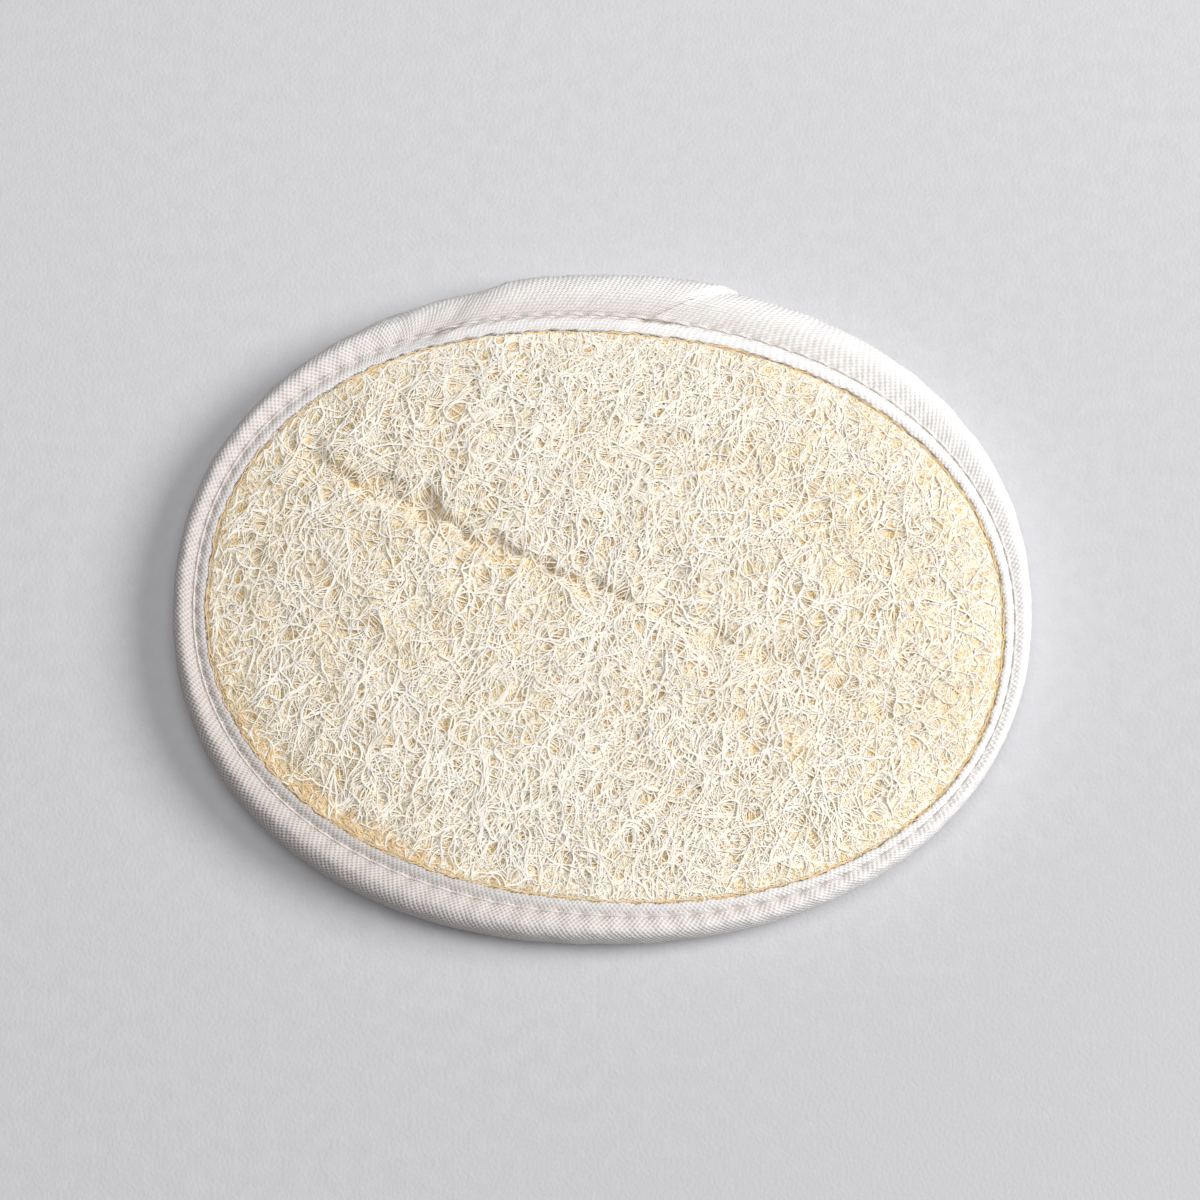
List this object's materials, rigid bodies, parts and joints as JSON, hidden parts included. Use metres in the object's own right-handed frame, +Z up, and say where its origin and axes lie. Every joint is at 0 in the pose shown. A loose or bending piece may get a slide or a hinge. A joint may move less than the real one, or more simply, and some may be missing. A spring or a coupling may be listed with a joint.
{
  "type": "loofah scrubbing pad",
  "caption": "Oval loofah scrubbing pad: a pressed loofah web bound with stitched canvas tape, on a foam core and terry back with an elastic hand strap.",
  "frame": {"origin": "on the surface that the pad lies on, under the middle of its outline", "axes": "+Z up out of the loofah face, X along the pad's length, Y along its width and along the hand strap, +Y towards the tape's join"},
  "size_m": [0.1398, 0.1114, 0.016],
  "materials": {
    "loofah": "matte",
    "canvas": "matte",
    "thread": "matte",
    "foam": "matte",
    "terry": "matte",
    "elastic": "matte"
  },
  "bodies": {
    "pad": {"loofah_web": "loofah", "foam_core": "foam", "terry_back": "terry", "binding_tape": "canvas", "stitches_face": "thread", "stitches_back": "thread", "strap_end_far": "elastic", "strap_end_near": "elastic"},
    "strap": {"strap_middle": "elastic"}
  },
  "joints": [
    {"name": "strap_lift", "type": "slide", "parent": "pad", "child": "strap", "axis": [0, 0, -1], "range_m": [0, 0.025], "stiffness_N_per_m": 150, "deforming": ["strap_end_far", "strap_end_near"]}
  ]
}
